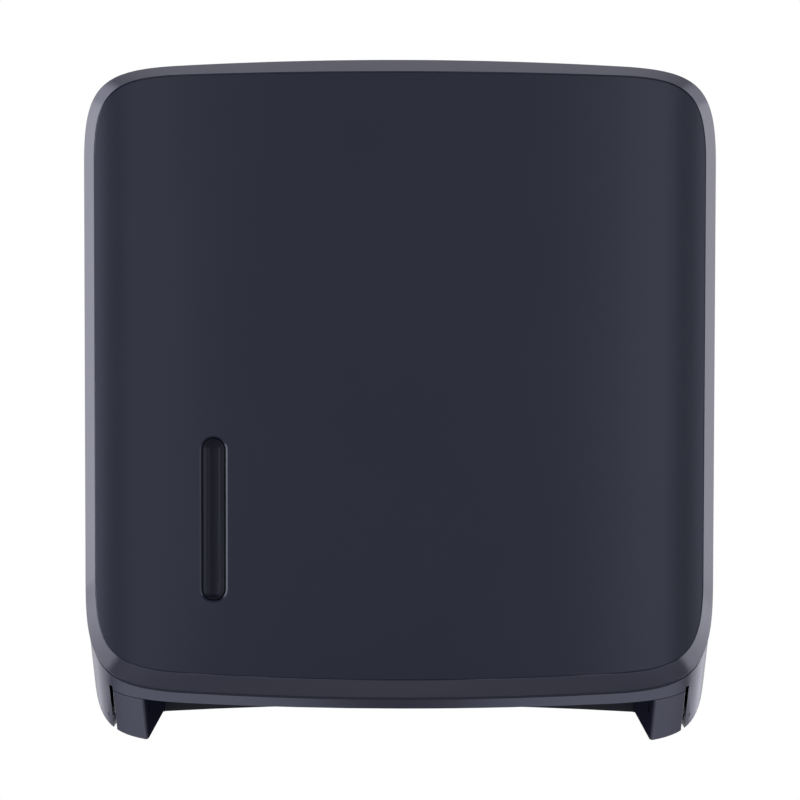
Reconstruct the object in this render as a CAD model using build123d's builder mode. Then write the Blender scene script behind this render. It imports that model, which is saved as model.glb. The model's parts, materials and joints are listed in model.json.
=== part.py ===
"""Wall-mounted dispenser for folded paper towels.

The wall is the plane y = 0, the front looks to -Y and +Z is up. The origin is the
centre of the four wall screws on the wall plane. Depths are counted from the wall
towards the front. All lengths are in millimetres.

A back plate carries a towel tray whose two feet hold the hinge pins. The cover frame
swings on those pins, and the bowed front panel is screwed to the cover frame.
"""
import os
from math import asin, cos, sqrt

from build123d import *

os.makedirs("parts", exist_ok=True)

# The shell as seen from the front.
half_width = 159.3
top_height = 170.3
panel_overhang = 0.7
rim_bottom = -153.2
seam_width = 1.15
leg_length = 32.5
side_bevel = 11.4
top_bevel = 7.4
bottom_bevel = 12.3
top_bow_radius = 2000.0
bottom_bow_radius = 1850.0
face_bow_radius = 1050.0
top_corner_reach = 46.3
low_corner_reach = 50.0
leg_corner_reach = 54.0
face_top_corner_reach = 41.0
face_low_corner_reach = 44.0
corner_share = 0.83
leg_corner_share = 0.92

# The shell's depths, counted from the wall.
face_depth = 153.0
bevel_depth = 21.6
seam_depth = 2.4
leg_taper_depth = 31.0
plate_thickness = 4.0
cover_gap = 1.5

# The bow of the face as seen from above: a long middle arc and two tighter flanks.
face_radius = 1500.0
face_flank_width = 14.6
face_flank_radius = 150.0

# Walls and clearances.
wall = 2.6
flange_width = 16.0
overrun = 40.0
fixed_clearance = 0.05
running_clearance = 0.05
part_gap = 0.3
joint_gap = 0.5

# Rounded edges.
face_edge_radius = 1.0
rim_edge_radius = 0.5
frame_edge_radius = 0.5
rear_edge_radius = 0.8
foot_edge_radius = 2.0
foot_side_radius = 0.4

# Legs and hinge.
leg_thickness = 10.5
leg_gap = 1.7
kerf_rise = 3.0
foot_width = 17.0
foot_draft = 0.3
hinge_setback = 29.0
hinge_drop = 9.8
joint_radius = 23.8
ear_thickness = 2.4
ear_run = 34.0
ear_rise = 23.0
pin_radius = 3.0
pin_head_radius = 4.4
pin_head_thickness = 1.6
pin_boss_radius = 5.6
pin_boss_length = 7.0
bush_radius = 4.6
bush_flange_radius = 6.2
bush_flange = 1.0
stop_radius = 10.4
stop_peg_radius = 2.0
stop_slack = 0.3

# Towel tray.
tray_rise = 6.2
tray_setback = 13.0
tray_back_height = 17.0
outlet_margin = 27.2
outlet_width = 50.0
outlet_corner = 22.0
collar_height = 6.0
tray_rib_height = 5.0

# Back plate. The wall screws keep their pattern whatever the shell measures.
screw_span_x = 200.0
screw_span_z = 180.0
wall_hole_radius = 2.75
wall_boss_radius = 9.0
wall_boss_height = 2.0
wall_sink_radius = 5.8
wall_sink_depth = 1.6
bead_inset = 3.0
bead_drop = 13.0
bead_rise = 25.0
bead_corner = 20.0
bead_thickness = 2.2
bead_height = 5.0
plate_rib_height = 3.0
plate_rib_thickness = 2.0
plate_rib_pitch = 46.0
plate_rib_gap = 0.3
plate_rib_count = 4
arch_rise = 9.5
arch_foot_rise = 5.8

# Towel guides.
guide_inset = 2.2
guide_thickness = 2.0
guide_setback = 24.0
guide_drop = 59.0
guide_flange = 11.0
guide_corner = 26.0
guide_window_width = 28.0
guide_window_height = 52.0
guide_window_pitch = 72.0
guide_screw_drop = 28.0

# Thread-forming screws.
screw_radius = 1.25
screw_head_radius = 2.8
screw_head_height = 1.9
screw_hole_radius = 1.6
screw_bite = 3.2
post_bite = 7.0
recess_length = 3.2
recess_width = 0.8
recess_depth = 1.0

# Front panel details.
post_radius = 3.6
post_inset = 9.0
post_drop = 3.0
post_run = 24.4
post_span_z = 170.0
panel_rib_height = 4.0
panel_rib_thickness = 1.8
panel_rib_pitch = 58.0
panel_rib_count = 4
panel_rib_margin = 16.6

# Sight window.
sight_inset = 55.3
sight_rise = 80.6
sight_width = 12.4
sight_height = 82.2
sight_rim_width = 0.9
sight_rim_depth = 0.5
sight_recess = 0.4
sight_flange = 3.0
sight_flange_thickness = 1.6
dish_radius = 11.0
dish_depth = 1.2
keeper_thickness = 1.8
keeper_reach = 4.0

# Lock.
lock_depth = 64.0
lock_radius = 8.0
lock_length = 20.0
lock_head_radius = 10.5
lock_head_height = 1.8
nut_radius = 12.6
nut_thickness = 4.0
barrel_radius = 5.5
barrel_tail = 1.2
spigot_size = 6.0
cam_length = 26.0
cam_width = 12.0
cam_thickness = 2.4
key_length = 7.0
key_width = 1.8
key_depth = 9.0
cam_screw_length = 8.0

# Lock catch.
catch_x = 20.0
catch_width = 15.0
catch_thickness = 2.6
catch_gap = 0.4
catch_base_height = 34.0
catch_screw_drop = 8.0
catch_screw_pitch = 9.0
catch_lip_rise = 6.0
catch_drop = 5.0

# Rubber buffers between the back plate and the cover's rear edge.
buffer_length = 18.0
buffer_width = 2.0
buffer_span = 160.0

# Heights and half widths that follow from the shell's own.
rim_half_width = half_width + panel_overhang
rim_top = top_height + panel_overhang
frame_bottom = rim_bottom - seam_width
leg_bottom = rim_bottom - leg_length
face_half_width = rim_half_width - side_bevel
face_top = rim_top - top_bevel
face_bottom = rim_bottom + bottom_bevel
face_flank_start = face_half_width - face_flank_width
slot_outer = half_width - leg_thickness
foot_outer = slot_outer - leg_gap
foot_inner = foot_outer - foot_width
foot_rear = foot_inner - foot_draft
hinge_height = rim_bottom - hinge_drop
ear_top = hinge_height + ear_rise
tray_floor = rim_bottom + tray_rise
guide_face = foot_inner - guide_inset
guide_top = top_height - guide_drop
guide_screw_height = guide_top - guide_screw_drop
bead_side = guide_face - bead_inset
bead_top = top_height - bead_drop
bead_bottom = tray_floor + bead_rise
arch_height = leg_bottom + arch_rise
arch_foot = leg_bottom + arch_foot_rise
outlet_length = 2 * (foot_inner - outlet_margin)
panel_rib_length = 2 * (face_half_width - panel_rib_margin)
post_x = half_width - low_corner_reach - post_run
sight_x = sight_inset - face_half_width
sight_z = face_bottom + sight_rise

# Depths that follow from the depth of the face.
rim_depth = face_depth - bevel_depth
frame_depth = rim_depth - seam_depth
leg_depth = frame_depth - leg_taper_depth
rear_depth = plate_thickness + cover_gap
hinge_depth = frame_depth - hinge_setback
ear_depth = hinge_depth - ear_run
tray_front = frame_depth - tray_setback
outlet_depth = (tray_front + plate_thickness) / 2
guide_front = tray_front - guide_setback

# Levels of the lock and of its catch, counted down from the top.
lock_foot = top_height - lock_length
barrel_foot = lock_foot - barrel_tail
cam_foot = barrel_foot - cam_thickness
arm_top = cam_foot - catch_drop
base_top = arm_top + catch_thickness
catch_screw_height = base_top - catch_base_height / 2 - catch_screw_drop
# The back plate's ribs end just below the catch.
plate_rib_length = 2 * (base_top - catch_base_height - plate_rib_gap)

joint_inner = joint_radius - joint_gap
hinge_line = Plane((0, -hinge_depth, hinge_height), x_dir=(0, 1, 0), z_dir=(1, 0, 0))
sides = (-1, 1)


def at_depth(depth):
    """The plane parallel to the wall at a depth, with X to the right and Z up."""
    return Plane.XZ.offset(depth)


def corner_curve(start, corner, end, share):
    """A corner that tightens towards its middle, drawn between two tangents."""
    first = Vector(start) + (Vector(corner) - Vector(start)) * share
    second = Vector(end) + (Vector(corner) - Vector(end)) * share
    Bezier(start, first, second, end)


def outline(half, top, bottom, top_reach, low_reach, low_share, low_bow):
    """A softly cornered rectangle whose top and bottom edges are gently bowed."""
    top_flat = half - top_reach
    top_end = top - top_flat**2 / (2 * top_bow_radius)
    top_corner = top_end - top_reach * top_flat / top_bow_radius
    top_side = top_corner - top_reach
    low_flat = half - low_reach
    low_end = bottom + low_flat**2 / (2 * low_bow)
    low_corner = low_end + low_reach * low_flat / low_bow
    low_side = low_corner + low_reach
    with BuildLine(Plane.XY) as edge:
        ThreePointArc((-top_flat, top_end), (0, top), (top_flat, top_end))
        corner_curve((top_flat, top_end), (half, top_corner), (half, top_side), corner_share)
        Line((half, top_side), (half, low_side))
        corner_curve((half, low_side), (half, low_corner), (low_flat, low_end), low_share)
        ThreePointArc((low_flat, low_end), (0, bottom), (-low_flat, low_end))
        corner_curve((-low_flat, low_end), (-half, low_corner), (-half, low_side), low_share)
        Line((-half, low_side), (-half, top_side))
        corner_curve((-half, top_side), (-half, top_corner), (-top_flat, top_end), corner_share)
    make_face(edge.edges())


def shell_outline(inset, bottom, low_reach=low_corner_reach, low_share=corner_share):
    """The outline of the shell, inset from its skin, down to a given bottom."""
    half = half_width - inset
    top_reach = top_corner_reach - inset
    low_bow = bottom_bow_radius
    outline(half, top_height - inset, bottom + inset, top_reach, low_reach - inset, low_share, low_bow)


def leg_outline(inset):
    """The outline of the shell with its legs, whose lower corners are squarer."""
    shell_outline(inset, leg_bottom, leg_corner_reach, leg_corner_share)


def face_outline(inset):
    """The outline of the front panel's bevel, carried on to the foremost plane."""
    half = face_half_width - inset
    top_reach = face_top_corner_reach - inset
    low_reach = face_low_corner_reach - inset
    outline(half, face_top - inset, face_bottom + inset, top_reach, low_reach, corner_share, face_bow_radius)


def shell_solid(inset, start):
    """The filled shell of cover and legs, inset from its skin, from a starting depth."""
    with BuildPart() as solid:
        with BuildSketch(at_depth(start)):
            leg_outline(inset)
        extrude(amount=leg_depth - start)
        with BuildSketch(at_depth(leg_depth)):
            leg_outline(inset)
        with BuildSketch(at_depth(frame_depth)):
            shell_outline(inset, frame_bottom)
        loft(ruled=True)
    return solid.part


def cover_solid():
    """The filled shell of the cover, with its rear and front edges rounded."""
    with BuildPart() as solid:
        add(shell_solid(0, rear_depth))
        fillet(solid.edges().group_by(Axis.Y)[-1], rear_edge_radius)
        fillet(solid.edges().group_by(Axis.Y)[0], frame_edge_radius)
    return solid.part


def panel_solid(inset, face_inset):
    """The filled front panel, inset from its bevel and from its bowed face."""
    front = face_inset - face_depth
    start_share = face_flank_start / face_radius
    middle_x = (face_flank_start + rim_half_width) / 2
    middle_lean = asin(start_share + (middle_x - face_flank_start) / face_flank_radius)
    last_lean = asin(start_share + (rim_half_width - face_flank_start) / face_flank_radius)
    flank_y = front + face_radius * (1 - cos(asin(start_share)))
    middle_y = flank_y + face_flank_radius * (cos(asin(start_share)) - cos(middle_lean))
    last_y = flank_y + face_flank_radius * (cos(asin(start_share)) - cos(last_lean))
    with BuildPart() as solid:
        with BuildSketch(at_depth(rim_depth)):
            shell_outline(inset - panel_overhang, rim_bottom + panel_overhang)
        with BuildSketch(at_depth(face_depth)):
            face_outline(inset)
        loft(ruled=True)
        with BuildSketch(Plane.XY.offset(leg_bottom)):
            with BuildLine():
                ThreePointArc((-face_flank_start, flank_y), (0, front), (face_flank_start, flank_y))
                ThreePointArc((face_flank_start, flank_y), (middle_x, middle_y), (rim_half_width, last_y))
                Line((rim_half_width, last_y), (rim_half_width, 0))
                Line((rim_half_width, 0), (-rim_half_width, 0))
                Line((-rim_half_width, 0), (-rim_half_width, last_y))
                ThreePointArc((-rim_half_width, last_y), (-middle_x, middle_y), (-face_flank_start, flank_y))
            make_face()
        extrude(amount=rim_top - leg_bottom, mode=Mode.INTERSECT)
    return solid.part


def hinge_solid(radius, half_length):
    """A round about the hinge line, with all the room behind it down to the wall."""
    with BuildPart() as solid:
        with BuildSketch(hinge_line.offset(-half_length)):
            Circle(radius)
            Rectangle(hinge_depth, 2 * radius, align=(Align.MIN, Align.CENTER))
        extrude(amount=2 * half_length)
    return solid.part


def save(piece, name):
    """Label a finished piece and write it out."""
    piece.part.label = name
    export_step(piece.part, "parts/" + name + ".step")


def screw_set(depth, facing, places, grip):
    """Equal pan-head screws seated at a depth, facing the front (1) or the wall (-1)."""
    seat = Plane((0, -depth, 0), x_dir=(1, 0, 0), z_dir=(0, -facing, 0))
    with BuildPart() as screws:
        with Locations(*[seat * Location((x, facing * z, 0)) for x, z in places]):
            Cylinder(screw_head_radius, screw_head_height, align=(Align.CENTER, Align.CENTER, Align.MIN))
            Cylinder(screw_radius, grip, align=(Align.CENTER, Align.CENTER, Align.MAX))
        with Locations(*[seat * Location((x, facing * z, screw_head_height)) for x, z in places]):
            Box(recess_length, recess_width, 2 * recess_depth, mode=Mode.SUBTRACT)
            Box(recess_width, recess_length, 2 * recess_depth, mode=Mode.SUBTRACT)
    return screws


# Screw places that several pieces share.
wall_holes = [(x * screw_span_x / 2, z * screw_span_z / 2) for x in sides for z in sides]
tray_holes = [(x * outlet_length / 2, tray_floor + tray_back_height / 2) for x in (-1, 0, 1)]
guide_hole_x = guide_face + guide_thickness + guide_flange / 2
guide_holes = [(x * guide_hole_x, z * guide_screw_height) for x in sides for z in sides]
catch_holes = [(catch_x + x * catch_screw_pitch / 2, catch_screw_height) for x in sides]
post_holes = [(x * post_x, top_height - post_inset - post_drop) for x in sides]
post_holes += [(x * post_x, frame_bottom + post_inset + post_drop) for x in sides]
post_holes += [(x * (half_width - post_inset), z * post_span_z / 2) for x in sides for z in sides]

# Back plate: flat against the wall, ribbed on the towel side, arched between the legs.
with BuildPart() as back_plate:
    with BuildSketch(at_depth(0)):
        leg_outline(part_gap)
        with BuildLine():
            ThreePointArc((-foot_rear, arch_foot), (0, arch_height), (foot_rear, arch_foot))
            Line((foot_rear, arch_foot), (foot_rear, leg_bottom - overrun))
            Line((foot_rear, leg_bottom - overrun), (-foot_rear, leg_bottom - overrun))
            Line((-foot_rear, leg_bottom - overrun), (-foot_rear, arch_foot))
        make_face(mode=Mode.SUBTRACT)
    extrude(amount=plate_thickness)
    with BuildSketch(at_depth(plate_thickness)):
        with Locations((0, (bead_top + bead_bottom) / 2)):
            RectangleRounded(2 * bead_side, bead_top - bead_bottom, bead_corner)
            RectangleRounded(
                2 * (bead_side - bead_thickness),
                bead_top - bead_bottom - 2 * bead_thickness,
                bead_corner - bead_thickness,
                mode=Mode.SUBTRACT,
            )
    extrude(amount=bead_height)
    with BuildSketch(at_depth(plate_thickness)):
        with GridLocations(plate_rib_pitch, plate_rib_length, plate_rib_count, 1):
            SlotOverall(plate_rib_length, plate_rib_thickness, rotation=90)
    extrude(amount=plate_rib_height)
    with BuildSketch(at_depth(plate_thickness)):
        with Locations(*wall_holes):
            Circle(wall_boss_radius)
    extrude(amount=wall_boss_height)
    boss_face = at_depth(plate_thickness + wall_boss_height)
    with Locations(*[boss_face * Location((x, z, 0)) for x, z in wall_holes]):
        CounterBoreHole(wall_hole_radius, wall_sink_radius, wall_sink_depth)
    with BuildSketch(at_depth(plate_thickness)):
        with Locations(*catch_holes, *guide_holes, *tray_holes):
            Circle(screw_radius + fixed_clearance)
    extrude(amount=-screw_bite - fixed_clearance, mode=Mode.SUBTRACT)
save(back_plate, "back_plate")

# The feet take the shape of the shell between the leg gap and the towel outlet.
foot_centre = (foot_outer + foot_inner) / 2
foot_front = foot_rear + foot_draft * face_depth / hinge_depth
with BuildPart() as foot_room:
    for side in sides:
        with BuildSketch(Plane.XY.offset(tray_floor)):
            with BuildLine():
                Polyline(
                    (side * foot_outer, 0),
                    (side * foot_rear, 0),
                    (side * foot_front, -face_depth),
                    (side * foot_outer, -face_depth),
                    close=True,
                )
            make_face()
        extrude(amount=leg_bottom - tray_floor - overrun)
with BuildPart() as foot_pocket:
    with Locations((-foot_centre, 0, tray_floor + overrun), (foot_centre, 0, tray_floor + overrun)):
        Box(foot_width - 2 * wall, 2 * face_depth, top_height, align=(Align.CENTER, Align.CENTER, Align.MAX))
    add(shell_solid(wall, plate_thickness + wall), mode=Mode.INTERSECT)
    add(hinge_solid(joint_inner - wall, half_width), mode=Mode.INTERSECT)

with BuildPart() as feet:
    add(shell_solid(0, plate_thickness))
    add(foot_room.part, mode=Mode.INTERSECT)
    add(hinge_solid(joint_inner, half_width), mode=Mode.INTERSECT)
    for side in sides:
        for wall_x, radius in ((foot_inner, foot_edge_radius), (foot_outer, foot_side_radius)):
            foot_wall = side * wall_x
            rims = feet.edges().filter_by_position(Axis.X, foot_wall - foot_draft, foot_wall + foot_draft)
            rims = rims.filter_by_position(Axis.Y, -frame_depth, -plate_thickness - part_gap)
            fillet(rims.filter_by_position(Axis.Z, leg_bottom, tray_floor - part_gap), radius)

# Towel tray: a floor with the outlet, and two hollow feet that hold the hinge pins.
with BuildPart() as towel_tray:
    add(feet.part)
    with BuildSketch(Plane.XY.offset(tray_floor)):
        with Locations((0, -plate_thickness)):
            Rectangle(2 * foot_outer, tray_front - plate_thickness, align=(Align.CENTER, Align.MAX))
    extrude(amount=-wall)
    with BuildSketch(at_depth(plate_thickness)):
        with Locations((0, tray_floor - wall)):
            Rectangle(2 * (guide_face - part_gap), tray_back_height + wall, align=(Align.CENTER, Align.MIN))
    extrude(amount=wall)
    with BuildSketch(Plane.XY.offset(tray_floor)):
        with Locations((0, -outlet_depth)):
            RectangleRounded(outlet_length + 2 * wall, outlet_width + 2 * wall, outlet_corner + wall)
    extrude(amount=-wall - collar_height)
    with BuildSketch(Plane.XY.offset(tray_floor - wall)):
        with Locations((0, -plate_thickness - wall / 2), (0, -tray_front + wall / 2)):
            Rectangle(2 * foot_inner, wall)
    extrude(amount=-tray_rib_height)
    with BuildSketch(Plane.XY.offset(tray_floor + overrun)):
        with Locations((0, -outlet_depth)):
            RectangleRounded(outlet_length, outlet_width, outlet_corner)
    extrude(amount=-2 * overrun, mode=Mode.SUBTRACT)
    add(foot_pocket.part, mode=Mode.SUBTRACT)
    for side in sides:
        with Locations(hinge_line * Location((0, 0, side * (foot_outer - wall / 2)))):
            Cylinder(
                pin_boss_radius,
                pin_boss_length,
                align=(Align.CENTER, Align.CENTER, Align.MAX if side > 0 else Align.MIN),
            )
    with Locations(hinge_line):
        Cylinder(pin_radius + fixed_clearance, 2 * half_width, mode=Mode.SUBTRACT)
    stop_slot = stop_peg_radius + stop_slack
    for side in sides:
        with BuildSketch(hinge_line.offset(side * (foot_outer - wall / 2))):
            with BuildLine() as stop_path:
                CenterArc((0, 0), stop_radius, 0, 90)
            SlotArc(stop_path.wire(), 2 * stop_slot)
        extrude(amount=wall, both=True, mode=Mode.SUBTRACT)
    with Locations(*[at_depth(0) * Location((x, z, 0)) for x, z in tray_holes]):
        Cylinder(screw_hole_radius, 2 * (plate_thickness + 2 * wall), mode=Mode.SUBTRACT)
save(towel_tray, "towel_tray")

# Towel guides: one sheet on either side of the stack, with a front fold and a screw flange.
guide_foot = tray_floor + part_gap
for side, name in ((-1, "left_towel_guide"), (1, "right_towel_guide")):
    with BuildPart() as towel_guide:
        with BuildSketch(Plane.YZ.offset(side * guide_face)):
            with Locations((-plate_thickness, guide_foot)):
                Rectangle(guide_front - plate_thickness, guide_top - guide_foot, align=(Align.MAX, Align.MIN))
        extrude(amount=side * guide_thickness)
        upper_front = towel_guide.edges().filter_by(Axis.X).sort_by(Axis.Z)[-2:].sort_by(Axis.Y)[0]
        fillet(upper_front, guide_corner)
        with BuildSketch(Plane.YZ.offset(side * guide_face)):
            with Locations((-(guide_front + plate_thickness) / 2, (guide_top + guide_foot) / 2)):
                with GridLocations(guide_window_width, guide_window_pitch, 1, 3):
                    RectangleRounded(guide_window_width, guide_window_height, guide_window_width / 3)
        extrude(amount=side * guide_thickness, mode=Mode.SUBTRACT)
        with BuildSketch(at_depth(plate_thickness)):
            for level in sides:
                with Locations((side * guide_hole_x, level * guide_screw_height)):
                    Rectangle(guide_flange + 2 * guide_thickness, 2 * guide_flange)
        extrude(amount=guide_thickness)
        with BuildSketch(at_depth(guide_front - guide_thickness)):
            with Locations((side * guide_face, guide_foot)):
                Rectangle(
                    guide_flange / 2,
                    guide_top - guide_corner - guide_foot,
                    align=(Align.MIN if side > 0 else Align.MAX, Align.MIN),
                )
        extrude(amount=guide_thickness)
        with Locations(*[at_depth(plate_thickness) * Location((x, z, 0)) for x, z in guide_holes]):
            Cylinder(screw_hole_radius, 2 * wall, mode=Mode.SUBTRACT)
    save(towel_guide, name)

# Hinge pins, headed on the inside of the feet, and the flanged bushes they run in.
pin_start = foot_outer - wall / 2 - pin_boss_length
pin_end = slot_outer + ear_thickness
for side, word in ((-1, "left"), (1, "right")):
    pin_plane = hinge_line * Location((0, 0, side * pin_start), (0, 0 if side > 0 else 180, 0))
    with BuildPart() as hinge_pin:
        with Locations(pin_plane):
            Cylinder(pin_radius, pin_end - pin_start, align=(Align.CENTER, Align.CENTER, Align.MIN))
            Cylinder(pin_head_radius, pin_head_thickness, align=(Align.CENTER, Align.CENTER, Align.MAX))
        chamfer(hinge_pin.edges().group_by(Axis.X)[-1 if side > 0 else 0], pin_radius / 6)
    save(hinge_pin, word + "_hinge_pin")
    bush_plane = hinge_line * Location((0, 0, side * slot_outer), (0, 0 if side > 0 else 180, 0))
    with BuildPart() as hinge_bush:
        with Locations(bush_plane):
            Cylinder(bush_radius, ear_thickness, align=(Align.CENTER, Align.CENTER, Align.MIN))
            Cylinder(bush_flange_radius, bush_flange, align=(Align.CENTER, Align.CENTER, Align.MAX))
            Cylinder(pin_radius + running_clearance, overrun, mode=Mode.SUBTRACT)
    save(hinge_bush, word + "_hinge_bush")

# Cover frame: the skin of the sides, top and outer legs, flanged to take the front panel.
with BuildPart() as cover_room:
    add(shell_solid(wall, rear_depth))
    with BuildSketch(at_depth(frame_depth - wall)):
        Rectangle(2 * half_width + overrun, 2 * top_height + overrun)
    extrude(amount=overrun, mode=Mode.SUBTRACT)
    with BuildSketch(at_depth(rear_depth)):
        shell_outline(flange_width, frame_bottom)
    extrude(amount=face_depth)
with BuildPart() as leg_ears:
    for side in sides:
        with BuildSketch(Plane.YZ.offset(side * slot_outer)):
            with Locations((-ear_depth, ear_top)):
                Rectangle(face_depth, top_height, align=(Align.MAX, Align.MAX))
        extrude(amount=side * ear_thickness)
    add(cover_solid(), mode=Mode.INTERSECT)
with BuildPart() as leg_kerfs:
    add(hinge_solid(joint_radius + kerf_rise, slot_outer))
    add(hinge_solid(joint_radius + overrun, foot_outer), mode=Mode.SUBTRACT)
with BuildPart() as cover_frame:
    add(cover_solid())
    add(cover_room.part, mode=Mode.SUBTRACT)
    add(hinge_solid(joint_radius, slot_outer), mode=Mode.SUBTRACT)
    add(leg_kerfs.part, mode=Mode.SUBTRACT)
    add(leg_ears.part)
    for side in sides:
        with Locations(hinge_line * Location((stop_radius, 0, side * slot_outer))):
            Cylinder(
                stop_peg_radius,
                slot_outer - foot_outer + wall,
                align=(Align.CENTER, Align.CENTER, Align.MAX if side > 0 else Align.MIN),
            )
    for side in sides:
        with Locations(hinge_line * Location((0, 0, side * (slot_outer + ear_thickness / 2)))):
            Cylinder(bush_radius + fixed_clearance, ear_thickness, mode=Mode.SUBTRACT)
    with Locations((0, -lock_depth, top_height)):
        Cylinder(lock_radius + fixed_clearance, overrun, mode=Mode.SUBTRACT)
    with Locations(*[at_depth(frame_depth) * Location((x, z, 0)) for x, z in post_holes]):
        Cylinder(screw_hole_radius, 4 * wall, mode=Mode.SUBTRACT)
save(cover_frame, "cover_frame")

# Front panel: a bowed face with a bevelled rim, ribbed and posted behind.
with BuildPart() as panel_posts:
    with BuildSketch(at_depth(rim_depth)):
        with Locations(*post_holes):
            Circle(post_radius)
    extrude(amount=face_depth - rim_depth)
    add(panel_solid(wall / 2, wall / 2), mode=Mode.INTERSECT)
    with BuildSketch(at_depth(frame_depth)):
        with Locations(*post_holes):
            Circle(post_radius)
    extrude(amount=rim_depth - frame_depth)
with BuildPart() as panel_ribs:
    with BuildSketch(at_depth(rim_depth)):
        with Locations((0, (face_top + face_bottom) / 2)):
            with GridLocations(panel_rib_length, panel_rib_pitch, 1, panel_rib_count):
                Rectangle(panel_rib_length, panel_rib_thickness)
    extrude(amount=face_depth)
    add(panel_solid(wall / 2, wall / 2), mode=Mode.INTERSECT)
    add(panel_solid(wall, wall + panel_rib_height), mode=Mode.SUBTRACT)
sight_front = face_depth - face_radius + sqrt(face_radius**2 - (abs(sight_x) + sight_width / 2) ** 2)
sight_back = face_depth - face_radius + sqrt(face_radius**2 - sight_x**2) - wall
sight_seat = sight_back - panel_rib_height / 2
pad_width = sight_width + 2 * wall + 2 * sight_flange
pad_height = sight_height + 2 * sight_flange + 4 * keeper_reach
keeper_holes = [(sight_x, sight_z + z * (sight_height / 2 + sight_flange + keeper_reach)) for z in sides]
with BuildPart() as front_panel:
    add(panel_solid(0, 0))
    bevel_edges = front_panel.edges().filter_by(GeomType.LINE, reverse=True)
    bevel_middle = rim_depth + bevel_depth / 2
    fillet(bevel_edges.filter_by_position(Axis.Y, -face_depth, -bevel_middle), face_edge_radius)
    fillet(front_panel.edges().group_by(Axis.Y)[-1], rim_edge_radius)
    add(panel_solid(wall, wall), mode=Mode.SUBTRACT)
    add(panel_posts.part)
    add(panel_ribs.part)
    with BuildSketch(at_depth(sight_seat)):
        with Locations((sight_x, sight_z)):
            SlotOverall(pad_height, pad_width, 90)
    extrude(amount=sight_back + wall / 2 - sight_seat)
    with BuildSketch(at_depth(frame_depth)):
        with Locations((sight_x, sight_z)):
            SlotOverall(pad_height, pad_width, 90)
    extrude(amount=sight_seat - frame_depth, mode=Mode.SUBTRACT)
    with BuildSketch(at_depth(frame_depth)):
        with Locations((sight_x, sight_z)):
            SlotOverall(sight_height, sight_width, 90)
    extrude(amount=face_depth, mode=Mode.SUBTRACT)
    slot_edges = front_panel.edges(Select.LAST)
    slot_rim = slot_edges.filter_by_position(Axis.Y, -face_depth, -sight_back - wall / 2)
    bowed_face = front_panel.faces().sort_by(Axis.Y)[0]
    chamfer(slot_rim, sight_rim_width, sight_rim_depth, reference=bowed_face)
    with BuildSketch(at_depth(sight_seat)):
        with Locations(*keeper_holes):
            Circle(screw_radius + fixed_clearance)
    extrude(amount=screw_bite, mode=Mode.SUBTRACT)
    with BuildSketch(at_depth(frame_depth)):
        with Locations(*post_holes):
            Circle(screw_radius + fixed_clearance)
    extrude(amount=post_bite, mode=Mode.SUBTRACT)
save(front_panel, "front_panel")

# Sight window: a dished smoked lens, flanged behind, and the keeper plate that holds it.
lens_front = sight_front - sight_recess
lens_back = sight_seat - sight_flange_thickness
dish_axis = dish_depth - dish_radius - lens_front
dish_half = (sight_height - sight_width) / 2
with BuildPart() as sight_window:
    with BuildSketch(at_depth(lens_back)):
        with Locations((sight_x, sight_z)):
            SlotOverall(sight_height - 2 * part_gap, sight_width - 2 * part_gap, 90)
    extrude(amount=lens_front - lens_back)
    chamfer(sight_window.faces().sort_by(Axis.Y)[0].edges(), sight_recess)
    with BuildSketch(at_depth(lens_back)):
        with Locations((sight_x, sight_z)):
            SlotOverall(sight_height + 2 * sight_flange, sight_width + 2 * sight_flange, 90)
    extrude(amount=sight_flange_thickness)
    with Locations((sight_x, dish_axis, sight_z)):
        Cylinder(dish_radius, 2 * dish_half, mode=Mode.SUBTRACT)
    with Locations((sight_x, dish_axis, sight_z - dish_half), (sight_x, dish_axis, sight_z + dish_half)):
        Sphere(dish_radius, mode=Mode.SUBTRACT)
save(sight_window, "sight_window")

with BuildPart() as window_keeper:
    with BuildSketch(at_depth(lens_back - keeper_thickness)):
        with Locations((sight_x, sight_z)):
            SlotOverall(pad_height, pad_width, 90)
            SlotOverall(sight_height, sight_width, 90, mode=Mode.SUBTRACT)
    extrude(amount=keeper_thickness)
    with BuildSketch(at_depth(lens_back)):
        with Locations(*keeper_holes):
            Circle(keeper_reach - part_gap)
    extrude(amount=sight_flange_thickness)
    with BuildSketch(at_depth(lens_back - keeper_thickness)):
        with Locations(*keeper_holes):
            Circle(screw_hole_radius)
    extrude(amount=keeper_thickness + sight_flange_thickness, mode=Mode.SUBTRACT)
save(window_keeper, "window_keeper")

# Cam lock in the cover's top: body, nut, turning barrel, cam and cam screw.
key_top = top_height + lock_head_height
with BuildPart() as lock_body:
    with BuildSketch(Plane.XY.offset(lock_foot)):
        with Locations((0, -lock_depth)):
            Circle(lock_radius)
    extrude(amount=lock_length)
    with BuildSketch(Plane.XY.offset(top_height)):
        with Locations((0, -lock_depth)):
            Circle(lock_head_radius)
    extrude(amount=lock_head_height)
    chamfer(lock_body.edges().sort_by(Axis.Z)[-1], lock_head_height / 3)
    with Locations((0, -lock_depth, top_height)):
        Cylinder(barrel_radius + running_clearance, 2 * overrun, mode=Mode.SUBTRACT)
save(lock_body, "lock_body")

with BuildPart() as lock_nut:
    with BuildSketch(Plane.XY.offset(top_height - wall - fixed_clearance)):
        with Locations((0, -lock_depth)):
            RegularPolygon(nut_radius, 6)
            Circle(lock_radius + fixed_clearance, mode=Mode.SUBTRACT)
    extrude(amount=-nut_thickness)
save(lock_nut, "lock_nut")

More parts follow.
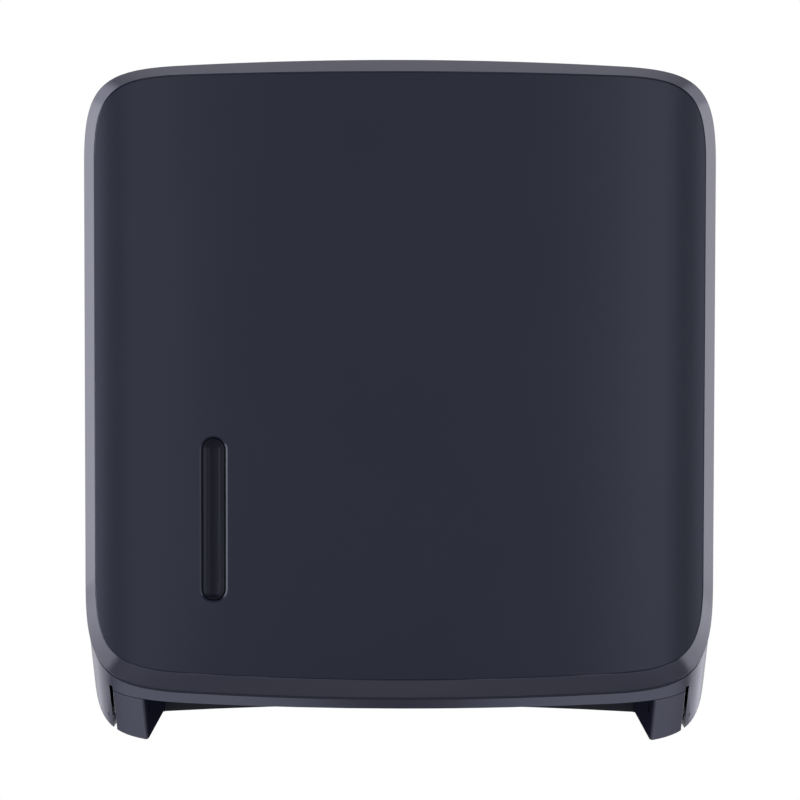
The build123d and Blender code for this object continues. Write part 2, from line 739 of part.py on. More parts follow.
with BuildPart() as lock_barrel:
    with BuildSketch(Plane.XY.offset(barrel_foot)):
        with Locations((0, -lock_depth)):
            Circle(barrel_radius)
    extrude(amount=key_top - barrel_foot)
    with BuildSketch(Plane.XY.offset(barrel_foot)):
        with Locations((0, -lock_depth)):
            Rectangle(spigot_size, spigot_size)
    extrude(amount=fixed_clearance - cam_thickness)
    with BuildSketch(Plane.XY.offset(key_top)):
        with Locations((0, -lock_depth)):
            Rectangle(key_width, key_length)
    extrude(amount=-key_depth, mode=Mode.SUBTRACT)
    with BuildSketch(Plane.XY.offset(cam_foot)):
        with Locations((0, -lock_depth)):
            Circle(screw_radius + fixed_clearance)
    extrude(amount=cam_screw_length + fixed_clearance, mode=Mode.SUBTRACT)
save(lock_barrel, "lock_barrel")

with BuildPart() as lock_cam:
    with BuildSketch(Plane.XY.offset(cam_foot)):
        with Locations((0, cam_length / 2 - lock_depth)):
            SlotCenterToCenter(cam_length, cam_width, 90)
        with Locations((0, -lock_depth)):
            Rectangle(spigot_size + fixed_clearance, spigot_size + fixed_clearance, mode=Mode.SUBTRACT)
    extrude(amount=cam_thickness)
save(lock_cam, "lock_cam")

with BuildPart() as cam_screw:
    with BuildSketch(Plane.XY.offset(cam_foot)):
        with Locations((0, -lock_depth)):
            Circle(spigot_size * sqrt(2) / 2)
    extrude(amount=-screw_head_height)
    with BuildSketch(Plane.XY.offset(cam_foot)):
        with Locations((0, -lock_depth)):
            Circle(screw_radius)
    extrude(amount=cam_screw_length)
    with Locations((0, -lock_depth, cam_foot - screw_head_height)):
        Box(recess_length, recess_width, 2 * recess_depth, mode=Mode.SUBTRACT)
        Box(recess_width, recess_length, 2 * recess_depth, mode=Mode.SUBTRACT)
save(cam_screw, "cam_screw")

# Lock catch: an arm from the back plate whose lip stands before the turned cam.
lip_back = lock_depth + cam_width / 2 + catch_gap
lip_top = barrel_foot + catch_lip_rise
with BuildPart() as lock_catch:
    with BuildSketch(Plane.YZ.offset(catch_x)):
        with BuildLine():
            Polyline(
                (-plate_thickness, base_top - catch_base_height),
                (-plate_thickness, base_top),
                (-plate_thickness - catch_thickness, base_top),
                (-plate_thickness - catch_thickness, arm_top),
                (-lip_back, arm_top),
                (-lip_back, lip_top),
                (-lip_back - catch_thickness, lip_top),
                (-lip_back - catch_thickness, arm_top - catch_thickness),
                (-plate_thickness - catch_thickness, arm_top - catch_thickness),
                (-plate_thickness - catch_thickness, base_top - catch_base_height),
                close=True,
            )
        make_face()
    extrude(amount=catch_width / 2, both=True)
    lip_edges = lock_catch.edges().filter_by(Axis.Y).group_by(Axis.Z)[-1]
    fillet(lip_edges, catch_thickness)
    with BuildSketch(Plane.YZ.offset(catch_x)):
        with BuildLine():
            Polyline(
                (-plate_thickness - catch_thickness, base_top - catch_base_height / 2),
                (-plate_thickness - catch_thickness, arm_top - catch_thickness),
                (-lip_back / 2, arm_top - catch_thickness),
                close=True,
            )
        make_face()
    extrude(amount=catch_thickness / 2, both=True)
    with Locations(*[at_depth(plate_thickness) * Location((x, z, 0)) for x, z in catch_holes]):
        Cylinder(screw_hole_radius, 4 * catch_thickness, mode=Mode.SUBTRACT)
save(lock_catch, "lock_catch")

# Rubber buffers on the back plate, under the rear edge of the cover.
with BuildPart() as cover_buffers:
    with BuildSketch(at_depth(plate_thickness)):
        with GridLocations(2 * half_width - wall, buffer_span, 2, 2):
            SlotOverall(buffer_length, buffer_width, 90)
    extrude(amount=cover_gap - part_gap)
save(cover_buffers, "cover_buffers")

# Screws, each set of equal screws as one piece.
save(screw_set(plate_thickness + wall, 1, tray_holes, wall + screw_bite), "tray_screws")
guide_grip = guide_thickness + screw_bite
save(screw_set(plate_thickness + guide_thickness, 1, guide_holes, guide_grip), "guide_screws")
catch_grip = catch_thickness + screw_bite
save(screw_set(plate_thickness + catch_thickness, 1, catch_holes, catch_grip), "catch_screws")
save(screw_set(frame_depth - wall, -1, post_holes, wall + post_bite), "panel_screws")
keeper_grip = keeper_thickness + sight_flange_thickness + screw_bite
save(screw_set(lens_back - keeper_thickness, -1, keeper_holes, keeper_grip), "keeper_screws")
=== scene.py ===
# %% [markdown]
# # A wall dispenser for folded paper towels
#
# In this lesson we dress a measured model of a washroom towel dispenser. Its shapes are
# already right to a tenth of a millimetre, so we leave them where they are and give our
# attention to what a camera sees: finishes, small hardware and light. Each step first says
# what the real thing is and why we make it this way, and then a short cell does it.

import json
import math

import bpy
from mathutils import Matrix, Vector


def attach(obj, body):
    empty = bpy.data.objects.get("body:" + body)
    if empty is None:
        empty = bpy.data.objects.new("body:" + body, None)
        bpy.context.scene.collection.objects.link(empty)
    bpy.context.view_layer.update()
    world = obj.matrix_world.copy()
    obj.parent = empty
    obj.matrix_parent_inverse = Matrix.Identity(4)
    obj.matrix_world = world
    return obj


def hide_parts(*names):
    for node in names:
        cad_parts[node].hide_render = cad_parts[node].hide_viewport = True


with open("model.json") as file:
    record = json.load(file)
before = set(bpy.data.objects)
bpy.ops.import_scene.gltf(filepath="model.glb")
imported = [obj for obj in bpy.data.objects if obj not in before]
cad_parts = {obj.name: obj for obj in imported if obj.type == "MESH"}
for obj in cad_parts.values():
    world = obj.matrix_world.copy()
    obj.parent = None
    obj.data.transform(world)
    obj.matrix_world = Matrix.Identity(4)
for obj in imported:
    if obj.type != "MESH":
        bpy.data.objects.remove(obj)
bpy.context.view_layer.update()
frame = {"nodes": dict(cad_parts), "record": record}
nodes = frame["nodes"]
print("pieces in the model:", len(nodes))

# %% [markdown]
# ## Helpers for finishes
#
# Every finish here is a small tree of shader nodes. Two patterns return in nearly all of
# them: a fine grain that tilts the surface a little, as moulding tools leave it, and a slow
# drift of colour and gloss, as no real surface is even. Both read Object coordinates, which
# are metres here, so a pattern keeps its true size on every piece.

# %% Start a finish
def start_finish(name):
    material = bpy.data.materials.new(name)
    material.use_nodes = True
    tree = material.node_tree
    shader = tree.nodes["Principled BSDF"]
    place = tree.nodes.new("ShaderNodeTexCoord")
    return material, tree, shader, place.outputs["Object"]


# %% Noise, range and bump, the three building blocks
def add_noise(tree, place, size, detail=2.0, stretch=(1, 1, 1)):
    mapping = tree.nodes.new("ShaderNodeMapping")
    mapping.inputs["Scale"].default_value = [part / size for part in stretch]
    tree.links.new(place, mapping.inputs["Vector"])
    noise = tree.nodes.new("ShaderNodeTexNoise")
    noise.inputs["Scale"].default_value = 1.0
    noise.inputs["Detail"].default_value = detail
    tree.links.new(mapping.outputs["Vector"], noise.inputs["Vector"])
    return noise.outputs["Fac"]


def add_range(tree, value, low, high):
    spread = tree.nodes.new("ShaderNodeMapRange")
    spread.inputs["From Min"].default_value = 0.25
    spread.inputs["From Max"].default_value = 0.75
    spread.inputs["To Min"].default_value = low
    spread.inputs["To Max"].default_value = high
    tree.links.new(value, spread.inputs["Value"])
    return spread.outputs["Result"]


def add_colours(tree, value, dark, light):
    mix = tree.nodes.new("ShaderNodeMix")
    mix.data_type = "RGBA"
    mix.inputs["A"].default_value = (*dark, 1)
    mix.inputs["B"].default_value = (*light, 1)
    tree.links.new(value, mix.inputs["Factor"])
    return mix.outputs["Result"]


def add_bump(tree, shader, height, depth, strength):
    bump = tree.nodes.new("ShaderNodeBump")
    bump.inputs["Distance"].default_value = depth
    bump.inputs["Strength"].default_value = strength
    tree.links.new(height, bump.inputs["Height"])
    tree.links.new(bump.outputs["Normal"], shader.inputs["Normal"])


# %% [markdown]
# ## The plastics
#
# The shell is moulded in an anthracite plastic with a cool cast. Its tool was fine blasted,
# which gives a satin skin: dark when it faces the room, bright where it catches a lamp at a
# shallow angle. We could use a flat dark colour, but then the bevels would look like paint.
# Instead the colour stays very dark, and the gloss does the work. The pieces inside come
# from a plainer tool, so they are a touch paler and duller.

# %% Moulded plastic
DRIFT_SIZE = 0.06
GRAIN_DEPTH = 0.00004
COOL_TINT = (0.80, 0.85, 1.0, 1)
TRAY_MIRROR = 0.24


def moulded_plastic(name, dark, light, rough, grain, strength, mirror):
    material, tree, shader, place = start_finish(name)
    drift = add_range(tree, add_noise(tree, place, DRIFT_SIZE, 3.0), 0, 1)
    fine = add_noise(tree, place, grain, 3.0)
    tree.links.new(add_colours(tree, drift, dark, light), shader.inputs["Base Color"])
    tree.links.new(add_range(tree, fine, *rough), shader.inputs["Roughness"])
    add_bump(tree, shader, fine, GRAIN_DEPTH, strength)
    shader.inputs["Specular IOR Level"].default_value = mirror
    shader.inputs["Specular Tint"].default_value = COOL_TINT
    return material


panel_plastic = moulded_plastic(
    "panel_plastic",
    dark=(0.0102, 0.0111, 0.0228),
    light=(0.0122, 0.0131, 0.0254),
    rough=(0.19, 0.23),
    grain=0.0006,
    strength=0.03,
    mirror=0.22,
)
shell_plastic = moulded_plastic(
    "shell_plastic",
    dark=(0.0105, 0.0112, 0.0215),
    light=(0.0125, 0.0132, 0.0240),
    rough=(0.27, 0.33),
    grain=0.0006,
    strength=0.04,
    mirror=0.24,
)
tray_plastic = moulded_plastic(
    "tray_plastic",
    dark=(0.0105, 0.0110, 0.0200),
    light=(0.0125, 0.0130, 0.0225),
    rough=(0.32, 0.38),
    grain=0.0007,
    strength=0.05,
    mirror=TRAY_MIRROR,
)
inner_plastic = moulded_plastic(
    "inner_plastic",
    dark=(0.0150, 0.0154, 0.0205),
    light=(0.0185, 0.0189, 0.0245),
    rough=(0.50, 0.60),
    grain=0.0010,
    strength=0.08,
    mirror=0.20,
)
bush_plastic = moulded_plastic(
    "bush_plastic",
    dark=(0.0100, 0.0104, 0.0160),
    light=(0.0120, 0.0124, 0.0185),
    rough=(0.30, 0.38),
    grain=0.0010,
    strength=0.06,
    mirror=0.26,
)
plastics = (panel_plastic, shell_plastic, tray_plastic, inner_plastic, bush_plastic)
print("plastics:", [plastic.name for plastic in plastics])

# %% [markdown]
# ## Painted shade between the feet
#
# The tray is satin all over, also on the faces between its feet. We see those faces at a very
# shallow angle, where satin plastic mirrors the bright room, while on the real dispenser they
# lie in the shade of the feet and the back plate. So the tray's mirror level falls to nothing
# inside the feet: this is painted shade, not a different finish. The distance from the middle,
# read from the Object coordinates, tells the two apart.

# %% Painted shade between the tray's feet
PAINTED_SHADE_EDGE = 0.1308
SATIN_EDGE = 0.1316


# Painted shade: the mirror level falls to nothing between the tray's feet, where the real faces
# lie in shade.
def paint_shade_between_feet(material, inside, outside, mirror):
    tree = material.node_tree
    shader = tree.nodes["Principled BSDF"]
    place = tree.nodes["Texture Coordinate"].outputs["Object"]
    split = tree.nodes.new("ShaderNodeSeparateXYZ")
    tree.links.new(place, split.inputs["Vector"])
    distance = tree.nodes.new("ShaderNodeMath")
    distance.operation = "ABSOLUTE"
    tree.links.new(split.outputs["X"], distance.inputs[0])
    painted_shade = tree.nodes.new("ShaderNodeMapRange")
    painted_shade.inputs["From Min"].default_value = inside
    painted_shade.inputs["From Max"].default_value = outside
    painted_shade.inputs["To Min"].default_value = 0.0
    painted_shade.inputs["To Max"].default_value = mirror
    tree.links.new(distance.outputs["Value"], painted_shade.inputs["Value"])
    # The mask takes the gloss away near the middle, which paints the shade between the feet.
    tree.links.new(painted_shade.outputs["Result"], shader.inputs["Specular IOR Level"])


paint_shade_between_feet(tray_plastic, PAINTED_SHADE_EDGE, SATIN_EDGE, TRAY_MIRROR)
print("painted shade between feet:", tray_plastic.name)

# %% [markdown]
# ## The smoked lens
#
# Through the narrow lens one sees how far the stack has gone down. It is a clear plastic
# with a strong grey tint and a polished face. We let some light through, so that the dark
# inside shows, and keep faint moulding flow in the gloss.

# %% Smoked lens
FLOW_SIZE = 0.012
FLOW_STRETCH = (1, 1, 0.2)
FLOW_DEPTH = 0.00005
SMOKE_DARK = (0.004, 0.004, 0.008)
SMOKE_LIGHT = (0.008, 0.008, 0.014)


def smoked_plastic(name):
    material, tree, shader, place = start_finish(name)
    flow = add_noise(tree, place, FLOW_SIZE, 2.0, FLOW_STRETCH)
    smoke = add_colours(tree, add_range(tree, flow, 0, 1), SMOKE_DARK, SMOKE_LIGHT)
    tree.links.new(smoke, shader.inputs["Base Color"])
    tree.links.new(add_range(tree, flow, 0.20, 0.28), shader.inputs["Roughness"])
    add_bump(tree, shader, flow, FLOW_DEPTH, 0.10)
    shader.inputs["Transmission Weight"].default_value = 0.2
    shader.inputs["IOR"].default_value = 1.22
    shader.inputs["Specular Tint"].default_value = COOL_TINT
    return material


smoked_lens = smoked_plastic("smoked_lens")
print("lens:", smoked_lens.name)

# %% [markdown]
# ## The metals and the rubber
#
# The hardware is zinc plated steel, turned steel pins and a polished lock. Zinc is cloudy,
# so its colour drifts in patches. Turned pins carry fine rings across their axis, which is X
# here, and we draw them as noise that is squeezed along X. The polished lock is nearly
# even, with hairline scratches. The buffers are plain black rubber with a chalky skin.

# %% Metals and rubber
CLOUD_SIZE = 0.006
MARK_DEPTH = 0.00003
CHALK_SIZE = 0.0016
CHALK_DEPTH = 0.0001
CHALK_DARK = (0.012, 0.012, 0.012)
CHALK_LIGHT = (0.026, 0.026, 0.027)


def worked_metal(name, dark, light, rough, size, stretch, strength):
    material, tree, shader, place = start_finish(name)
    marks = add_noise(tree, place, size, 4.0, stretch)
    clouds = add_range(tree, add_noise(tree, place, CLOUD_SIZE, 3.0), 0, 1)
    tree.links.new(add_colours(tree, clouds, dark, light), shader.inputs["Base Color"])
    tree.links.new(add_range(tree, marks, *rough), shader.inputs["Roughness"])
    add_bump(tree, shader, marks, MARK_DEPTH, strength)
    shader.inputs["Metallic"].default_value = 1.0
    return material


def chalky_rubber(name):
    material, tree, shader, place = start_finish(name)
    chalk = add_noise(tree, place, CHALK_SIZE, 5.0)
    black = add_colours(tree, add_range(tree, chalk, 0, 1), CHALK_DARK, CHALK_LIGHT)
    tree.links.new(black, shader.inputs["Base Color"])
    tree.links.new(add_range(tree, chalk, 0.72, 0.88), shader.inputs["Roughness"])
    add_bump(tree, shader, chalk, CHALK_DEPTH, 0.3)
    return material


screw_steel = worked_metal(
    "screw_steel",
    dark=(0.46, 0.47, 0.49),
    light=(0.60, 0.60, 0.60),
    rough=(0.28, 0.42),
    size=0.0008,
    stretch=(1, 1, 1),
    strength=0.15,
)
pin_steel = worked_metal(
    "pin_steel",
    dark=(0.44, 0.44, 0.45),
    light=(0.53, 0.53, 0.54),
    rough=(0.22, 0.36),
    size=0.0006,
    stretch=(1, 0.05, 0.05),
    strength=0.25,
)
catch_steel = worked_metal(
    "catch_steel",
    dark=(0.40, 0.41, 0.44),
    light=(0.52, 0.52, 0.53),
    rough=(0.30, 0.46),
    size=0.0012,
    stretch=(1, 1, 0.3),
    strength=0.15,
)
lock_chrome = worked_metal(
    "lock_chrome",
    dark=(0.66, 0.67, 0.69),
    light=(0.72, 0.72, 0.73),
    rough=(0.08, 0.15),
    size=0.0005,
    stretch=(1, 0.08, 1),
    strength=0.06,
)
buffer_rubber = chalky_rubber("buffer_rubber")
hard_wear = (screw_steel, pin_steel, catch_steel, lock_chrome, buffer_rubber)
print("metals and rubber:", [finish.name for finish in hard_wear])

# %% Give each measured piece its finish
finishes = {
    "inner_plastic": inner_plastic,
    "tray_plastic": tray_plastic,
    "shell_plastic": shell_plastic,
    "panel_plastic": panel_plastic,
    "smoked_lens": smoked_lens,
    "bush_plastic": bush_plastic,
    "screw_steel": screw_steel,
    "pin_steel": pin_steel,
    "catch_steel": catch_steel,
    "lock_chrome": lock_chrome,
    "buffer_rubber": buffer_rubber,
}
slots = {entry["node"]: entry["material_slot"] for entry in frame["record"]["subparts"]}
for name, piece in nodes.items():
    piece.data.materials.clear()
    piece.data.materials.append(finishes[slots[name]])
print("finished pieces:", len(slots))

# %% [markdown]
# ## The screws, with Geometry Nodes
#
# Twenty pan-head screws hold the dispenser together, and all of them are one design in
# five lengths, one with a wider head. That is just what Geometry Nodes are for: one tree
# makes a screw from named sizes and sets it on every seat. The head starts as a ball. Its
# lower half is pressed flat and its upper half is swollen to the pan shape, which leaves no
# inner faces. Two thin blocks cut the cross recess. Seats are the points of a small mesh,
# and an attribute on them says where each head looks.

# %% Small tools for building a tree
def tree_input(tree, name, kind, value=None):
    socket = tree.interface.new_socket(name=name, in_out="INPUT", socket_type=kind)
    if value is not None:
        socket.default_value = value
    return socket.identifier


def tree_node(tree, kind, **values):
    node = tree.nodes.new(kind)
    for key, value in values.items():
        setattr(node, key, value)
    return node


def tree_math(tree, operation, first, second):
    node = tree_node(tree, "ShaderNodeMath", operation=operation)
    for socket, value in zip(node.inputs, (first, second)):
        if isinstance(value, (int, float)):
            socket.default_value = value
        else:
            tree.links.new(value, socket)
    return node.outputs["Value"]


# %% The screw tree
HEAD_RADIUS = 0.0028
HEAD_HEIGHT = 0.0019
CAM_HEAD_RADIUS = 0.0042
PAN_POWER = 0.55
screw_tree = bpy.data.node_groups.new("pan_head_screws", "GeometryNodeTree")
screw_tree.interface.new_socket(name="Geometry", in_out="OUTPUT", socket_type="NodeSocketGeometry")
screw_keys = {"Geometry": tree_input(screw_tree, "Geometry", "NodeSocketGeometry")}
for label, size in (
    ("Head Radius", HEAD_RADIUS),
    ("Head Height", HEAD_HEIGHT),
    ("Shank Radius", 0.00125),
    ("Grip", 0.006),
    ("Recess Length", 0.0032),
    ("Recess Width", 0.0008),
    ("Recess Depth", 0.001),
):
    screw_keys[label] = tree_input(screw_tree, label, "NodeSocketFloat", size)
screw_keys["Finish"] = tree_input(screw_tree, "Finish", "NodeSocketMaterial")
print("inputs of the screw tree:", list(screw_keys))

# %% Head: a ball pressed to a pan shape
link = screw_tree.links.new
given = tree_node(screw_tree, "NodeGroupInput")
ball = tree_node(screw_tree, "GeometryNodeMeshUVSphere")
ball.inputs["Segments"].default_value = 28
ball.inputs["Rings"].default_value = 20
ball.inputs["Radius"].default_value = 1.0
where = tree_node(screw_tree, "GeometryNodeInputPosition")
split = tree_node(screw_tree, "ShaderNodeSeparateXYZ")
link(where.outputs["Position"], split.inputs["Vector"])
upper = tree_math(screw_tree, "MAXIMUM", split.outputs["Z"], 0.0)
swollen = tree_math(screw_tree, "POWER", upper, PAN_POWER)
pressed = tree_node(screw_tree, "ShaderNodeCombineXYZ")
for axis, reach, size in (
    ("X", split.outputs["X"], "Head Radius"),
    ("Y", split.outputs["Y"], "Head Radius"),
    ("Z", swollen, "Head Height"),
):
    link(tree_math(screw_tree, "MULTIPLY", reach, given.outputs[size]), pressed.inputs[axis])
head = tree_node(screw_tree, "GeometryNodeSetPosition")
link(ball.outputs["Mesh"], head.inputs["Geometry"])
link(pressed.outputs["Vector"], head.inputs["Position"])
print("nodes with the head:", len(screw_tree.nodes))

# %% Recess: two crossed blocks taken out of the head
cut = tree_node(screw_tree, "GeometryNodeMeshBoolean", operation="DIFFERENCE", solver="EXACT")
link(head.outputs["Geometry"], cut.inputs["Mesh 1"])
double_depth = tree_math(screw_tree, "MULTIPLY", given.outputs["Recess Depth"], 2.0)
for along, across in (("Recess Length", "Recess Width"), ("Recess Width", "Recess Length")):
    block_size = tree_node(screw_tree, "ShaderNodeCombineXYZ")
    link(given.outputs[along], block_size.inputs["X"])
    link(given.outputs[across], block_size.inputs["Y"])
    link(double_depth, block_size.inputs["Z"])
    block = tree_node(screw_tree, "GeometryNodeMeshCube")
    link(block_size.outputs["Vector"], block.inputs["Size"])
    lift = tree_node(screw_tree, "ShaderNodeCombineXYZ")
    link(given.outputs["Head Height"], lift.inputs["Z"])
    raised = tree_node(screw_tree, "GeometryNodeTransform")
    link(block.outputs["Mesh"], raised.inputs["Geometry"])
    link(lift.outputs["Vector"], raised.inputs["Translation"])
    link(raised.outputs["Geometry"], cut.inputs["Mesh 2"])
print("nodes with the recess:", len(screw_tree.nodes))

# %% Shank, seats and the finished set
shank = tree_node(screw_tree, "GeometryNodeMeshCylinder")
shank.inputs["Vertices"].default_value = 20
link(given.outputs["Shank Radius"], shank.inputs["Radius"])
link(given.outputs["Grip"], shank.inputs["Depth"])
drop = tree_node(screw_tree, "ShaderNodeCombineXYZ")
link(tree_math(screw_tree, "MULTIPLY", given.outputs["Grip"], -0.5), drop.inputs["Z"])
lowered = tree_node(screw_tree, "GeometryNodeTransform")
link(shank.outputs["Mesh"], lowered.inputs["Geometry"])
link(drop.outputs["Vector"], lowered.inputs["Translation"])
screw = tree_node(screw_tree, "GeometryNodeJoinGeometry")
link(cut.outputs["Mesh"], screw.inputs["Geometry"])
link(lowered.outputs["Geometry"], screw.inputs["Geometry"])
facing = tree_node(screw_tree, "GeometryNodeInputNamedAttribute", data_type="FLOAT_VECTOR")
facing.inputs["Name"].default_value = "facing"
turn = tree_node(screw_tree, "FunctionNodeAlignRotationToVector", axis="Z")
link(facing.outputs["Attribute"], turn.inputs["Vector"])
seats = tree_node(screw_tree, "GeometryNodeInstanceOnPoints")
link(given.outputs["Geometry"], seats.inputs["Points"])
link(screw.outputs["Geometry"], seats.inputs["Instance"])
link(turn.outputs["Rotation"], seats.inputs["Rotation"])
real = tree_node(screw_tree, "GeometryNodeRealizeInstances")
link(seats.outputs["Instances"], real.inputs["Geometry"])
coat = tree_node(screw_tree, "GeometryNodeSetMaterial")
link(real.outputs["Geometry"], coat.inputs["Geometry"])
link(given.outputs["Finish"], coat.inputs["Material"])
result = tree_node(screw_tree, "NodeGroupOutput")
link(coat.outputs["Geometry"], result.inputs["Geometry"])
print("nodes in the screw tree:", len(screw_tree.nodes))

# %% [markdown]
# ## Where the screws sit
#
# We don't type the seats in again. Each measured set of screws is a handful of separate
# solids, so we walk over its mesh, group the vertices that belong together, and take the
# middle of each group and its ends along a given direction. The end that this direction points
# to is the head. That gives the seat and the grip, and our screws land where the measured ones
# were.

# %% Find the single screws in a measured set
def loose_groups(mesh):
    places = [vertex.co.copy() for vertex in mesh.vertices]
    owner = list(range(len(places)))

    def root(index):
        while owner[index] != index:
            owner[index] = owner[owner[index]]
            index = owner[index]
        return index

    known = {}
    for index, spot in enumerate(places):
        key = tuple(round(value * 1e6) for value in spot)
        owner[root(index)] = root(known.setdefault(key, index))
    for edge in mesh.edges:
        owner[root(edge.vertices[0])] = root(edge.vertices[1])
    groups = {}
    for index, spot in enumerate(places):
        groups.setdefault(root(index), []).append(spot)
    return list(groups.values())


def screw_seats(name, facing, head_height):
    facing = Vector(facing)
    seats, grip = [], 0.0
    for group in loose_groups(nodes[name].data):
        along = [spot.dot(facing) for spot in group]
        middle = sum((spot - facing * spot.dot(facing) for spot in group), Vector()) / len(group)
        seats.append(middle + facing * (max(along) - head_height))
        grip = max(along) - head_height - min(along)
    return seats, grip


# %% Make one set of screws for each measured set
SHARP_ANGLE = math.radians(38)


def screw_set(name, facing, body, head_radius=HEAD_RADIUS):
    spots, grip = screw_seats(name, facing, HEAD_HEIGHT)
    points = bpy.data.meshes.new(name + "_seats")
    points.from_pydata([tuple(spot) for spot in spots], [], [])
    points.attributes.new("facing", "FLOAT_VECTOR", "POINT")
    looks = [part for _ in spots for part in facing]
    points.attributes["facing"].data.foreach_set("vector", looks)
    carrier = bpy.data.objects.new(name + "_carrier", points)
    bpy.context.collection.objects.link(carrier)
    modifier = carrier.modifiers.new("screws", "NODES")
    modifier.node_group = screw_tree
    modifier[screw_keys["Head Radius"]] = head_radius
    modifier[screw_keys["Head Height"]] = HEAD_HEIGHT
    modifier[screw_keys["Grip"]] = grip
    modifier[screw_keys["Finish"]] = screw_steel
    evaluated = carrier.evaluated_get(bpy.context.evaluated_depsgraph_get())
    mesh = bpy.data.meshes.new_from_object(evaluated)
    bpy.data.objects.remove(carrier)
    mesh.shade_smooth()
    mesh.set_sharp_from_angle(angle=SHARP_ANGLE)
    made = bpy.data.objects.new(name + "_detailed", mesh)
    bpy.context.collection.objects.link(made)
    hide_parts(name)
    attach(made, body)
    print(made.name, "seats", len(spots), "grip mm", round(grip * 1000, 2))


for set_name in ("tray_screws", "guide_screws", "catch_screws"):
    screw_set(set_name, (0, -1, 0), "housing")
for set_name in ("panel_screws", "keeper_screws"):
    screw_set(set_name, (0, 1, 0), "cover")
screw_set("cam_screw", (0, 0, -1), "lock", head_radius=CAM_HEAD_RADIUS)

# %% [markdown]
# ## Room, light and camera
#
# The dispenser hangs on a wall, so here it floats between a plain floor and a plain ceiling,
# both outside the picture. The white around it is the world: rays from the camera see it
# white, and so do the rays that metal, glass and satin plastic send on. Only the light it
# sheds on dull surfaces is held back, so that the lamps can shape the object. Dark plastic
# shows its surroundings more than its own colour, so each lamp stands where some face
# mirrors it. Rim and low lamps beside and behind the object light the bevels and legs, under
# lamps light the lip and the feet, and edge and band lamps in front lay soft upright bands
# on the bowed face.

# %% Floor and ceiling
PAINT_SIZE = 0.4
PAINT_DARK = (0.41, 0.41, 0.42)
PAINT_LIGHT = (0.45, 0.45, 0.46)
PAINT_ROUGHNESS = 0.9


def painted_sheet(name, height, reach):
    mesh = bpy.data.meshes.new(name)
    turns = ((-1, -1), (1, -1), (1, 1), (-1, 1))
    mesh.from_pydata([(x * reach, y * reach, height) for x, y in turns], [], [(0, 1, 2, 3)])
    sheet = bpy.data.objects.new(name, mesh)
    bpy.context.collection.objects.link(sheet)
    material, tree, shader, place = start_finish(name + "_paint")
    shade = add_noise(tree, place, PAINT_SIZE, 2.0)
    tree.links.new(add_colours(tree, shade, PAINT_DARK, PAINT_LIGHT), shader.inputs["Base Color"])
    shader.inputs["Roughness"].default_value = PAINT_ROUGHNESS
    mesh.materials.append(material)
    print("stage:", name, "at", height, "m")


painted_sheet("pale_floor", height=-1.4, reach=1.3)
painted_sheet("pale_ceiling", height=2.4, reach=5.0)

# %% World
SHED_LIGHT = 0.12
WHITE = 1.0
world = bpy.data.worlds.new("white_room")
bpy.context.scene.world = world
world.use_nodes = True
sky = world.node_tree
sky.nodes.clear()
path = sky.nodes.new("ShaderNodeLightPath")
seen = sky.nodes.new("ShaderNodeMath")
seen.operation = "MAXIMUM"
sky.links.new(path.outputs["Is Camera Ray"], seen.inputs[0])
sky.links.new(path.outputs["Is Transmission Ray"], seen.inputs[1])
shown = sky.nodes.new("ShaderNodeMath")
shown.operation = "MAXIMUM"
sky.links.new(seen.outputs["Value"], shown.inputs[0])
sky.links.new(path.outputs["Is Glossy Ray"], shown.inputs[1])
strength = sky.nodes.new("ShaderNodeMapRange")
strength.inputs["To Min"].default_value = SHED_LIGHT
strength.inputs["To Max"].default_value = WHITE
sky.links.new(shown.outputs["Value"], strength.inputs["Value"])
backdrop = sky.nodes.new("ShaderNodeBackground")
backdrop.inputs["Color"].default_value = (1, 1, 1, 1)
sky.links.new(strength.outputs["Result"], backdrop.inputs["Strength"])
sky_out = sky.nodes.new("ShaderNodeOutputWorld")
sky.links.new(backdrop.outputs["Background"], sky_out.inputs["Surface"])
print("world nodes:", len(sky.nodes))


# %% Lamps
def soft_lamp(name, place, aim, width, height, power, colour):
    lamp = bpy.data.lights.new(name, "AREA")
    lamp.shape = "RECTANGLE"
    lamp.size = width
    lamp.size_y = height
    lamp.energy = power
    lamp.color = colour
    stand = bpy.data.objects.new(name, lamp)
    bpy.context.collection.objects.link(stand)
    stand.location = place
    stand.rotation_euler = (Vector(aim) - Vector(place)).to_track_quat("-Z", "Y").to_euler()


plain = (0.93, 0.95, 1.0)
cool = (0.84, 0.83, 1.0)
middle = (0, -0.15, 0)
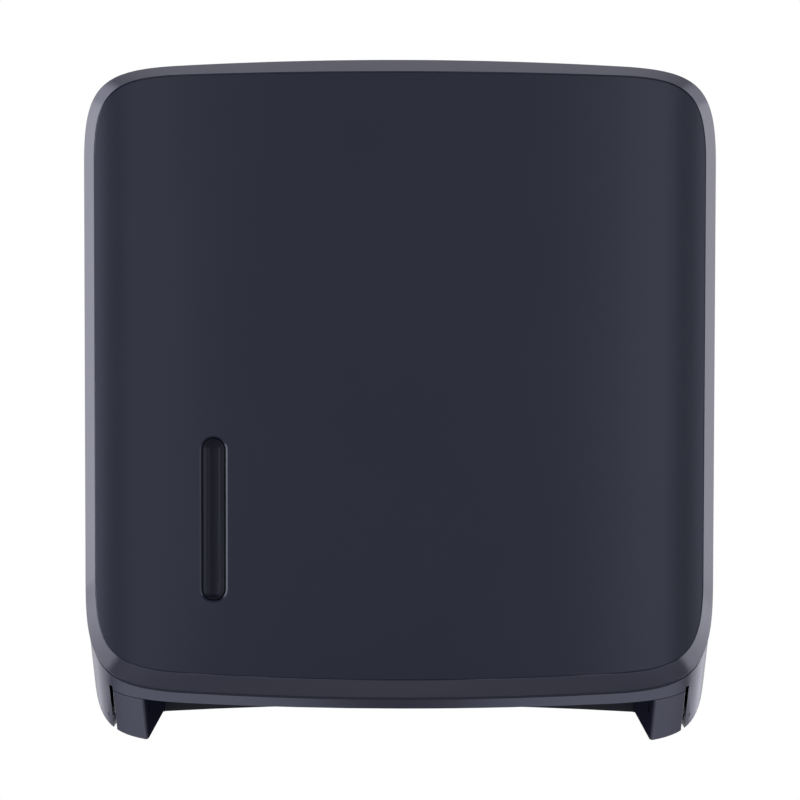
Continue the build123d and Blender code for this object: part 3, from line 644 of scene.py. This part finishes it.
# Each row: name, place, aim, width, height, power, colour.
lamps = (
    ("top_lamp", (0, -0.9, 1.9), (0, -0.05, 0), 1.8, 1.2, 14, plain),
    ("back_lamp", (0, 1.3, 1.1), (0, -0.1, 0.15), 2.2, 0.8, 3.2, cool),
    ("front_lamp", (0, -3.2, 0.42), (0, -0.15, 0.42), 2.1, 2.14, 4.1, plain),
    ("left_rim_lamp", (-1.25, 0.62, 0.432), (0, -0.12, 0.05), 0.9, 1.487, 9.6, cool),
    ("right_rim_lamp", (1.25, 0.62, 0.432), (0, -0.12, 0.05), 0.9, 1.487, 7.7, cool),
    ("left_low_lamp", (-1.06, 0.75, -0.76), (0, -0.1, -0.15), 0.95, 1.0, 4.8, cool),
    ("right_low_lamp", (1.06, 0.75, -0.76), (0, -0.1, -0.15), 0.95, 1.0, 6.4, cool),
    ("left_under_lamp", (-0.27, -0.08, -0.62), (-0.27, -0.08, -0.16), 0.42, 0.24, 0.88, cool),
    ("right_under_lamp", (0.27, -0.08, -0.62), (0.27, -0.08, -0.16), 0.42, 0.24, 0.88, cool),
    ("left_edge_lamp", (-1.32, -0.68, 0), middle, 0.35, 1.2, 11.3, plain),
    ("right_edge_lamp", (0.94, -1.15, 0), middle, 0.21, 1.2, 1.9, plain),
    ("left_inner_band_lamp", (-0.56, -1.75, 0.05), middle, 0.12, 1.2, 0.85, plain),
    ("right_inner_band_lamp", (0.56, -1.75, 0.05), middle, 0.12, 1.2, 1.6, plain),
    ("left_outer_band_lamp", (-1.12, -1.7, 0.05), middle, 0.24, 1.2, 4.4, plain),
    ("right_outer_band_lamp", (1.12, -1.7, 0.05), middle, 0.24, 1.2, 3.0, plain),
)
for row in lamps:
    soft_lamp(*row)
print("lamps:", [row[0] for row in lamps])

# %% Camera
CAMERA_PLACE = (0.0001, -1.6014, 0.0683)
CAMERA_PITCH = math.radians(87.3)
CAMERA_ROLL = math.radians(-0.09)
lens = bpy.data.cameras.new("photo_camera")
lens.lens = 130.5
lens.sensor_width = 36.0
lens.clip_end = 100.0
camera = bpy.data.objects.new("photo_camera", lens)
bpy.context.collection.objects.link(camera)
camera.location = CAMERA_PLACE
camera.rotation_euler = (CAMERA_PITCH, CAMERA_ROLL, 0)
bpy.context.scene.camera = camera
bpy.context.scene.view_settings.view_transform = "Standard"
